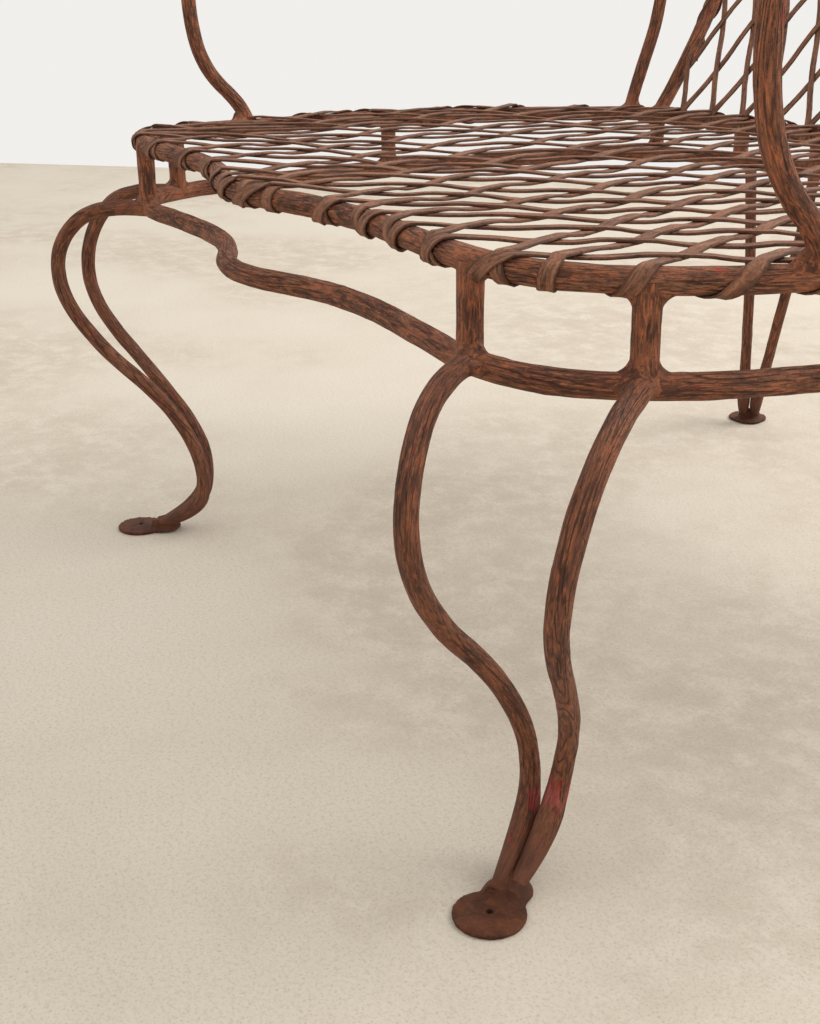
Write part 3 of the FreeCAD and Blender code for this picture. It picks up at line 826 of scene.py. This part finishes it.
pad_finish = foot_iron("pad_rust")
for foot, first, second in (("front_foot", "front_inner_leg", "front_outer_leg"),
                            ("rear_foot", "rear_outer_leg", "rear_inner_leg")):
    for side_name in ("left", "right"):
        name = "%s_%s" % (foot, side_name)
        centre = middle_of(name)
        deselect()
        tall = PAD_THICKNESS + 2 * PAD_SWELL
        bpy.ops.mesh.primitive_cylinder_add(
            vertices=96, radius=FOOT_RADIUS + PAD_SWELL, depth=tall,
            location=(centre.x, centre.y, PAD_THICKNESS / 2))
        disc = bpy.context.object
        bpy.ops.object.transform_apply(location=True)
        solids = [disc]
        landings = []
        for leg in (first, second):
            line = leg_lines["%s_%s" % (leg, side_name)]
            radius = LEGS[leg][3]
            solids.append(stub(line, line[-1], radius + PAD_SWELL, TOE_REACH, TOE_WIDTHS))
            landings.append(next(p for p in reversed(line) if (p - line[-1]).length > HUMP_BACK))
        middle = (landings[0] + landings[1]) / 2
        deselect()
        bpy.ops.mesh.primitive_uv_sphere_add(segments=32, ring_count=16, radius=1,
                                             location=(middle.x, middle.y, HUMP_HEIGHT))
        hump = bpy.context.object
        hump.scale = [half + PAD_SWELL for half in HUMP_SIZES]
        bpy.ops.object.transform_apply(location=True, scale=True)
        solids.append(hump)
        pad = fuse(name + "_pad", solids, PAD_SWELL, PAD_GRID, 14, 0.5)
        table = read_places(pad)
        off = np.hypot(table[:, 0] - centre.x, table[:, 1] - centre.y) / FOOT_RADIUS
        thin = np.clip(1 - RIM_THINNED * np.clip(off, 0, 1) ** 3, 0, 1)
        low = np.clip((THIN_BELOW - table[:, 2]) / THIN_FADE, 0, 1)
        table[:, 2] *= 1 - (1 - thin) * low
        table[:, 2] = np.maximum(table[:, 2], 0.0)
        set_places(pad, table)
        deselect()
        bpy.ops.mesh.primitive_cylinder_add(vertices=32, radius=HOLE_RADIUS, depth=0.02,
                                            location=(centre.x, centre.y, 0.002))
        cut_with(pad, "DIFFERENCE")
        dress(pad, pad_finish, "foot_iron", name)


# Seat straps
# Thin flat iron strap laid over the seat rails in two directions, woven over and under, with
# each end wound round its rail. Grey-brown rust, with painted shade darkening the edges.

STRAP_HALF = 0.0046
STRAP_THICK = 0.0015
STRAP_STEP = 0.003
STRAP_SECTION = ((-1, -0.45), (-1, 0.4), (-0.9, 1.0), (-0.55, 0.9), (0, 0.72), (0.55, 0.9),
                 (0.9, 1.0), (1, 0.4), (1, -0.45), (0.9, -1.0), (0, -0.8), (-0.9, -1.0))
WOUND = RAIL_RADIUS + 0.0002 + STRAP_THICK / 2
WEAVE = 0.00085
# A wound end: how far round it goes, in how many steps, and where its tip sinks to the rod
WIND_TURN = math.radians(225)
WIND_STEPS = 26
SINK_FROM = math.radians(150)
SINK_OVER = math.radians(70)
SINK_DEPTH = 0.0014
SEAT_WIDTHS = (0.79, 0.92)
SIDEWAYS_LEAD = 1.7
# The weave: how far a strap stays level at a crossing, how it eases, sags and wanders
CROSS_LEVEL = 0.008
EASE_OFF = 0.016
LOOSE_FROM = 0.06
SAG = 0.0022
SLACK = 0.0012
WANDER = 0.0016
RAGGED_EDGE = 0.00022
UNEVEN_FACE = 0.00010
SHORTEST = 0.05
LAY_STEP = 0.0025
STRAP_ANGLE = math.radians(42)


class Ring:
    """The closed middle line of the rods that a panel of straps is laid on, seen in its plane."""

    def __init__(self, flat_places):
        self.places = flat_places
        self.far = [0.0]
        for a, b in zip(flat_places, flat_places[1:]):
            self.far.append(self.far[-1] + (b - a).length)
        self.girth = self.far[-1]

    def at(self, way):
        """The place at a length along the ring, and the ring's direction there."""
        ahead = self.spot(way + 0.004) - self.spot(way - 0.004)
        return self.spot(way), ahead.normalized()

    def spot(self, way):
        """The place at a length along the ring."""
        way %= self.girth
        index = int(np.searchsorted(self.far, way, side="right")) - 1
        index = min(index, len(self.places) - 2)
        a, b = self.places[index], self.places[index + 1]
        share = (way - self.far[index]) / max(self.far[index + 1] - self.far[index], 1e-9)
        return a + (b - a) * share

    def met_by(self, x_at):
        """Where a line that runs up the panel meets the ring: lowest and highest, as lengths."""
        found = []
        for number, (a, b) in enumerate(zip(self.places, self.places[1:])):
            off_a, off_b = a.x - x_at(a.y), b.x - x_at(b.y)
            if (off_a < 0) != (off_b < 0):
                share = off_a / (off_a - off_b)
                found.append((a.y + (b.y - a.y) * share,
                              self.far[number] + (self.far[number + 1] - self.far[number]) * share))
        found.sort()
        return (found[0], found[-1]) if len(found) > 1 else None


def strap_bar(name, sections):
    """A straight flat bar along X with a set number of stretches."""
    deselect()
    bpy.ops.mesh.primitive_circle_add(vertices=len(STRAP_SECTION), radius=STRAP_HALF,
                                      fill_type="NGON")
    bar = bpy.context.object
    bar.name = name
    for corner, (side, up) in zip(bar.data.vertices, STRAP_SECTION):
        corner.co = (0, side * STRAP_HALF, up * STRAP_THICK / 2)
    draw_out(sections, STRAP_STEP)
    return bar


def soft_bend(x, row, above, below, ease=0.03):
    """A line up a panel that changes its slant gently where it passes a row."""
    def x_at(y):
        u = y - row
        if u >= ease:
            return x + above * u
        if u <= -ease:
            return x + below * u
        return x + (above + below) / 2 * u + (above - below) / (4 * ease) * (u * u + ease * ease)
    return x_at


def even_out(sections):
    """Sections at even steps along a strap, from sections at uneven steps."""
    far = [0.0]
    for a, b in zip(sections, sections[1:]):
        far.append(far[-1] + (b[0] - a[0]).length)
    count = max(6, round(far[-1] / STRAP_STEP))
    made = []
    index = 0
    for number in range(count + 1):
        way = far[-1] * number / count
        while index < len(far) - 2 and far[index + 1] < way:
            index += 1
        share = (way - far[index]) / max(far[index + 1] - far[index], 1e-9)
        mixed = [a.lerp(b, share) for a, b in zip(sections[index], sections[index + 1])]
        made.append(mixed)
    return made


def wound_end(ring, way, heading, plane, crossed, wide, wound_wide):
    """Sections of a strap's end, from the top of the rod round to its underside."""
    along = ring.at(way)[1]
    outward = Vector((along.y, -along.x))
    if outward.dot(heading) < 0:
        outward.negate()
    go_out, go_along = heading.dot(outward), heading.dot(along)
    sections = []
    place = way
    turn = WIND_TURN / WIND_STEPS
    for number in range(WIND_STEPS + 1):
        angle = turn * number
        lead = go_along / max(go_out, 1e-3)
        eased = min(1.0, angle / 0.7)
        limited = max(-SIDEWAYS_LEAD, min(SIDEWAYS_LEAD, lead))
        lead += (limited - lead) * eased
        centre, along = ring.at(place)
        side_out = Vector((along.y, -along.x))
        if side_out.dot(outward) < 0:
            side_out.negate()
        reach = WOUND + crossed * min(1.0, angle / 1.2)
        sink = max(0.0, min(1.0, (angle - SINK_FROM) / SINK_OVER))
        reach -= (SINK_DEPTH + crossed) * sink * sink * (3 - 2 * sink)
        out, up = math.sin(angle), math.cos(angle)
        flat = centre + side_out * (reach * out)
        spot = plane(flat.x, flat.y, reach * up)
        origin = plane(centre.x, centre.y, 0)
        radial = (spot - origin).normalized()
        axis = (plane(centre.x + along.x * 0.01, centre.y + along.y * 0.01, 0) - origin).normalized()
        away = (plane(centre.x + side_out.x * 0.01, centre.y + side_out.y * 0.01, 0)
                - origin).normalized()
        upward = (plane(centre.x, centre.y, 0.01) - origin).normalized()
        round_way = away * up - upward * out
        going = (round_way + axis * lead).normalized()
        broad = wide + (wound_wide - wide) * min(1.0, angle / 0.6)
        thick = 1.0 - 0.25 * min(1.0, angle / 0.6)
        sections.append([spot, going.cross(radial).normalized(), radial,
                         Vector((broad, 0, 0)), Vector((thick, 0, 0))])
        place += lead * reach * turn
    return sections


def lay_family(name, node, ring, plane, lines, crossings, crossed, widths, seed):
    """Lays one family of straps on a ring of rods and joins them into one piece. lines is a
    line up the panel for each strap, crossings finds the rows where a strap is crossed, with
    over or under, and crossed is how far its ends stand off the rod, over the other family."""
    draw = random.Random(seed)
    wide, wound_wide = widths
    bars = []
    for number, x_at in lines.items():
        met = ring.met_by(x_at)
        if not met:
            continue
        (low, low_way), (high, high_way) = met
        if high - low < SHORTEST:
            continue
        levels = crossings(number, low, high)
        stretch = max(8, round((high - low) / LAY_STEP))
        wander = draw.uniform(0, 50)
        flat = []
        for n in range(stretch + 1):
            y = low + (high - low) * n / stretch
            near_end = min(y - low, high - y)
            loose = min(1.0, near_end / LOOSE_FROM)
            x = x_at(y) + WANDER * loose * noise.noise((y * 14, wander, 0))
            level = weave_at(levels, y)
            closeness = max(0.0, 1 - near_end / 0.022)
            sag = SAG * loose * noise.noise((x * 9, y * 9, 4.0)) - SLACK * loose
            lift = WOUND + WEAVE * level + WEAVE * abs(level) * closeness + sag
            flat.append((x, y, lift))
        sections = []
        for n, (x, y, lift) in enumerate(flat):
            before, after = flat[max(0, n - 1)], flat[min(stretch, n + 1)]
            going = (plane(*after) - plane(*before)).normalized()
            up = (plane(x, y, 0.01) - plane(x, y, 0)).normalized()
            across = going.cross(up).normalized()
            tilt = 0.10 * noise.noise((y * 22, wander, 3))
            across = (across + up * tilt).normalized()
            near_end = min(y - low, high - y)
            broad = wide + (wound_wide - wide) * 0.5 * max(0.0, 1 - near_end / 0.02)
            sections.append([plane(x, y, lift), across, across.cross(going).normalized(),
                             Vector((broad, 0, 0)), Vector((1, 0, 0))])
        ends = []
        for way, here, there in ((low_way, flat[0], flat[2]), (high_way, flat[-1], flat[-3])):
            heading = Vector((here[0] - there[0], here[1] - there[1])).normalized()
            ends.append(wound_end(ring, way, heading, plane, crossed, wide, wound_wide))
        first = [[part[0], -part[1], *part[2:]] for part in reversed(ends[0])]
        sections = even_out(first[:-1] + sections + ends[1][1:])
        bar = strap_bar("%s_%d" % (name, number), len(sections) - 1)
        table = read_places(bar)
        rings = np.rint(table[:, 0] / STRAP_STEP).astype(int)
        grain = table + np.array([draw.uniform(0, 9), 0, 0])
        write_grain(bar, "grain", grain)
        spots, sides, ups, broad, thick = (np.array([list(part) for part in column])
                                           for column in zip(*sections))
        rough = np.column_stack([rings * STRAP_STEP, table[:, 1], np.full(len(table), wander)])
        ragged = RAGGED_EDGE * rolling(rough * (210, 400, 1)) * np.sign(table[:, 1])
        uneven = UNEVEN_FACE * rolling(rough * (260, 600, 1) + (0, 0, 9))
        side = table[:, 1] * broad[rings, 0] + ragged
        up = table[:, 2] * thick[rings, 0] + uneven
        laid = spots[rings] + sides[rings] * side[:, None] + ups[rings] * up[:, None]
        set_places(bar, laid)
        bars.append(bar)
    pick(*bars)
    bpy.ops.object.join()
    piece = bpy.context.object
    piece.name = name
    bpy.ops.object.shade_smooth_by_angle(angle=STRAP_ANGLE)
    dress(piece, strap_finish, "strap_iron", node)


def weave_at(levels, y):
    """How high a strap lies: +1 over and -1 under at its crossings, eased between them."""
    if not levels:
        return 0.0
    if y <= levels[0][0]:
        gap = levels[0][0] - y
        return levels[0][1] * ease_down(gap)
    if y >= levels[-1][0]:
        gap = y - levels[-1][0]
        return levels[-1][1] * ease_down(gap)
    for (row, level), (next_row, next_level) in zip(levels, levels[1:]):
        if row <= y <= next_row:
            span = max(next_row - row - 2 * CROSS_LEVEL, 1e-6)
            share = max(0.0, min(1.0, (y - row - CROSS_LEVEL) / span))
            share = 0.5 - 0.5 * math.cos(math.pi * share)
            return level + (next_level - level) * share
    return 0.0


def ease_down(gap):
    """How much of its lift a strap keeps at a gap from its last crossing."""
    share = max(0.0, min(1.0, (gap - CROSS_LEVEL) / EASE_OFF))
    return 0.5 + 0.5 * math.cos(math.pi * share)


def strap_iron(name):
    """Hot rolled strap gone grey-brown with rust, with painted shade on its sides and rounded edges
    so that the top looks lighter.
    """
    f = Finish(name)
    grain = f.node("Attribute", {"attribute_name": "grain"}, out=1)
    side = f.node("SeparateXYZ", {}, (grain,), out=1)
    # painted shade: the strap's sides and rounded edges are darkened so that the top looks lighter
    edge_shade = f.step(side.math("ABSOLUTE"), STRAP_HALF * 0.72, STRAP_HALF * 0.99)
    patches = f.noise(grain, (38, 90, 90), 4.0, 0.6)
    streaks = f.noise(grain, (60, 700, 300), 4.0, 0.6)
    grit = f.noise(grain, (900, 900, 900), 2.0)
    pits = f.noise(grain, (260, 520, 520), 3.0, 0.6, shift=(0, 4, 0))
    base = f.mix(f.step(patches, 0.36, 0.62), colour(94, 60, 43), colour(144, 96, 70))
    base = f.mix(f.step(streaks, 0.46, 0.64) * 0.6, base, colour(176, 122, 90))
    base = f.mix(f.step(pits, 0.56, 0.70) * 0.6, base, colour(58, 38, 30))
    base = f.mix(f.step(grit, 0.4, 0.64) * 0.4, base, colour(78, 48, 34))
    # painted shade along both edges of the strap
    base = f.mix(edge_shade * 0.55, base, colour(50, 33, 26))
    f.feed("Base Color", base)
    f.feed("Roughness", 0.6 + 0.2 * streaks)
    f.feed("Specular IOR Level", 0.35)
    height = streaks * 0.6 + patches * 0.5 + grit * 0.3 - f.step(pits, 0.54, 0.7) * 0.5
    f.feed("Normal", f.bump(height, 0.9, 0.0009))
    return f.material


strap_finish = strap_iron("strap_rust")

# The row of crossings, back from the front line, up to which the straps lie as measured
ROW = 0.138


def seat_node_x(number):
    """Where the crossings of one row lie, sideways: the spacing is uneven, as laid by hand."""
    if number > 3:
        return 0.125 + 0.0375 * (number - 3)
    if number < 0:
        return -0.004 + 0.0475 * number
    return -0.004 + 0.043 * number


SEAT_SLANT = 0.50
SEAT_NUMBERS = range(-13, 16)
# Where each strap meets the line of the front rail, read along the rail from the chair's middle
FIRST_AT_FRONT = {-3: -0.292, -2: -0.262, -1: -0.205, 0: -0.145, 1: -0.088, 2: -0.022,
                  3: 0.020, 4: 0.052, 5: 0.105, 6: 0.150, 7: 0.190, 8: 0.230, 9: 0.278}
SECOND_AT_FRONT = {-7: -0.300, -6: -0.270, -5: -0.213, -4: -0.153, -3: -0.096, -2: -0.030,
                   -1: 0.008, 0: 0.040, 1: 0.093, 2: 0.131, 3: 0.170, 4: 0.217, 5: 0.274,
                   6: 0.3055, 7: 0.349, 8: 0.399, 9: 0.449}


def seat_line(number, at_front, slant):
    """One strap's line: from the front rail to the row, and on at the even slant."""
    node = seat_node_x(number)
    front = at_front.get(number, node - slant * 1.1 * ROW)
    return soft_bend(node, ROW, slant, (node - front) / ROW)


seat_first = {n: seat_line(n, FIRST_AT_FRONT, SEAT_SLANT) for n in SEAT_NUMBERS}
seat_second = {n: seat_line(n, SECOND_AT_FRONT, -SEAT_SLANT) for n in SEAT_NUMBERS}


def crossing_row(first, second, low=-0.2, high=0.9):
    """The row where two lines cross: the first runs to the left and the second to the right."""
    for _ in range(24):
        row = (low + high) / 2
        if first(row) < second(row):
            low = row
        else:
            high = row
    return (low + high) / 2


def crossings_of(first_lines, second_lines, first_family):
    """The rows where a strap crosses the other family, and whether it lies over (+1) there."""
    def rows(number, low, high):
        found = []
        for other in second_lines:
            a, b = (number, other) if first_family else (other, number)
            row = crossing_row(first_lines[a], second_lines[b])
            if low - 0.002 < row < high + 0.002:
                over = 1 if (a + b) % 2 == 0 else -1
                found.append((row, over if first_family else -over))
        return sorted(found)
    return rows


def weave_panel(panel, ring, plane, first, second, crossed, widths, seed):
    """Lays both families of a panel. Only the first one's ends stand off the rods."""
    for family, lines, off in (("first", first, crossed), ("second", second, 0.0)):
        rows = crossings_of(first, second, family == "first")
        node = "%s_%s" % (panel, family)
        lay_family(node + "_woven", node, ring, plane, lines, rows, off, widths, seed)
        seed += 1


def flat_ring(lines, flat):
    """One closed line from the middle lines of the rods, in a panel's own plane."""
    places = []
    for line in lines:
        places += [flat(place) for place in line]
    places.append(places[0])
    return Ring([b for a, b in zip([None] + places, places) if a is None or (b - a).length > 1e-5])


def flat_on_seat(place):
    """A place in the seat's own plane: sideways, and back from the front line."""
    return Vector((place.x, (place.y - FRONT) / math.cos(RAKE)))


seat_ring = flat_ring([seat_lines["front"], seat_lines["left"], seat_lines["rear"],
                       list(reversed(seat_lines["right"]))], flat_on_seat)
weave_panel("seat_straps", seat_ring, on_seat, seat_first, seat_second, 0.0006, SEAT_WIDTHS, 101)


# Back straps
# The same strap in a regular diamond weave on the sitter's side of the back frame, each end
# wound round the frame, or at the bottom round the rear rail over the seat straps.

BACK_PITCH = 0.042
BACK_SLANT = 1 / math.tan(math.radians(64.5))
BACK_NUMBERS = range(-14, 15)
BACK_SHIFT = 0.0145
BACK_WIDTHS = (0.62, 0.85)


def back_lines(slant):
    """The even lines of one family, all at one slant."""
    return {n: soft_bend(BACK_PITCH * n + BACK_SHIFT, 0, slant, slant) for n in BACK_NUMBERS}


def flat_on_back(place):
    """A place in the back's own plane: sideways, and up from the rear rail."""
    offset = place - REAR_RAIL
    return Vector((place.x, offset.y * math.sin(LEAN) + offset.z * math.cos(LEAN)))


back_places = [flat_on_back(place) for place in back_line]
upper = [place for place in back_places if place.y > 0.004]
back_ring = Ring([Vector((upper[0].x, 0))] + upper + [Vector((upper[-1].x, 0)),
                                                      Vector((upper[0].x, 0))])
back_first = back_lines(BACK_SLANT)
back_second = back_lines(-BACK_SLANT)
weave_panel("back_straps", back_ring, on_back, back_first, back_second, 0.0008, BACK_WIDTHS, 103)


# Room
# A pale concrete floor that ends at the wall's line, with the off-white world behind it in the
# wall's place, even daylight all round, and a wide soft window high up behind the chair.

WALL_LEFT = Vector((-2.800, 0.032, 0))
WALL_RIGHT = Vector((-1.652, 1.393, 0))
deselect()
bpy.ops.mesh.primitive_plane_add(size=1)
floor = bpy.context.object
floor.name = "floor"
wall_way = (WALL_RIGHT - WALL_LEFT).normalized()
into_room = Vector((wall_way.y, -wall_way.x, 0))
edge_middle = (WALL_LEFT + WALL_RIGHT) / 2
for corner, (along, away) in zip(floor.data.vertices, ((-6, 9), (6, 9), (-6, 0), (6, 0))):
    corner.co = edge_middle + wall_way * along + into_room * away
FLOOR_SHIFT = (0.35, 0.6, 0)
f = Finish("concrete")
place = f.node("TexCoord", out=3)
clouds = f.noise(place, (2.1, 2.1, 2.1), 4.0, 0.55, shift=FLOOR_SHIFT)
mottle = f.noise(place, (26, 26, 26), 8.0, 0.76)
fine = f.noise(place, (330, 330, 330), 3.0, 0.7)
speck = f.noise(place, (620, 620, 620), 2.0, 0.6, shift=(5, 0, 0))
tone = f.mix(f.step(clouds, 0.30, 0.70), colour(196, 185, 169), colour(209, 200, 186))
worn = f.step(mottle, 0.42, 0.64) * f.step(clouds, 0.58, 0.42)
tone = f.mix(worn * 0.30, tone, colour(168, 155, 137))
chalky = f.step(mottle, 0.52, 0.36) * f.step(clouds, 0.60, 0.40)
tone = f.mix(chalky * 0.3, tone, colour(224, 216, 204))
tone = f.mix(f.step(fine, 0.44, 0.72) * 0.30, tone, colour(166, 153, 135))
tone = f.mix(f.step(speck, 0.54, 0.70) * 0.35, tone, colour(140, 125, 107))
f.feed("Base Color", tone)
f.feed("Roughness", 0.75 + 0.2 * mottle)
f.feed("Normal", f.bump(fine * 0.5 + mottle, 0.25, 0.002))
floor.data.materials.append(f.material)

room = bpy.data.worlds.new("room")
room.use_nodes = True
room.node_tree.nodes["Background"].inputs["Color"].default_value = (0.885, 0.865, 0.835, 1)
room.node_tree.nodes["Background"].inputs["Strength"].default_value = 1.0
bpy.context.scene.world = room

lamp = bpy.data.lights.new("window", "AREA")
lamp.shape = "RECTANGLE"
lamp.size = 3.2
lamp.size_y = 2.6
lamp.energy = 170
lamp.color = (1.0, 0.98, 0.95)
window = put_in("window", lamp)
window.location = (0.7, 2.9, 3.4)
window.rotation_euler = (Vector((0, 0, 0.3)) - window.location).to_track_quat("-Z", "Y").to_euler()

EYE_PLACE = (0.81875, -0.66597, 0.45014)
EYE_DOWN = 0.36731
EYE_TURN = 1.10587
EYE_ROLL = -0.0048
eye = bpy.data.cameras.new("eye")
eye.sensor_width = 36
eye.sensor_fit = "AUTO"
eye.lens = 50.21
camera = put_in("eye", eye)
turned = Euler((math.pi / 2 - EYE_DOWN, 0, EYE_TURN)).to_matrix().to_4x4()
camera.matrix_world = (Matrix.Translation(EYE_PLACE) @ turned
                       @ Matrix.Rotation(EYE_ROLL, 4, "Z"))
bpy.context.scene.camera = camera
bpy.context.scene.view_settings.view_transform = "Standard"
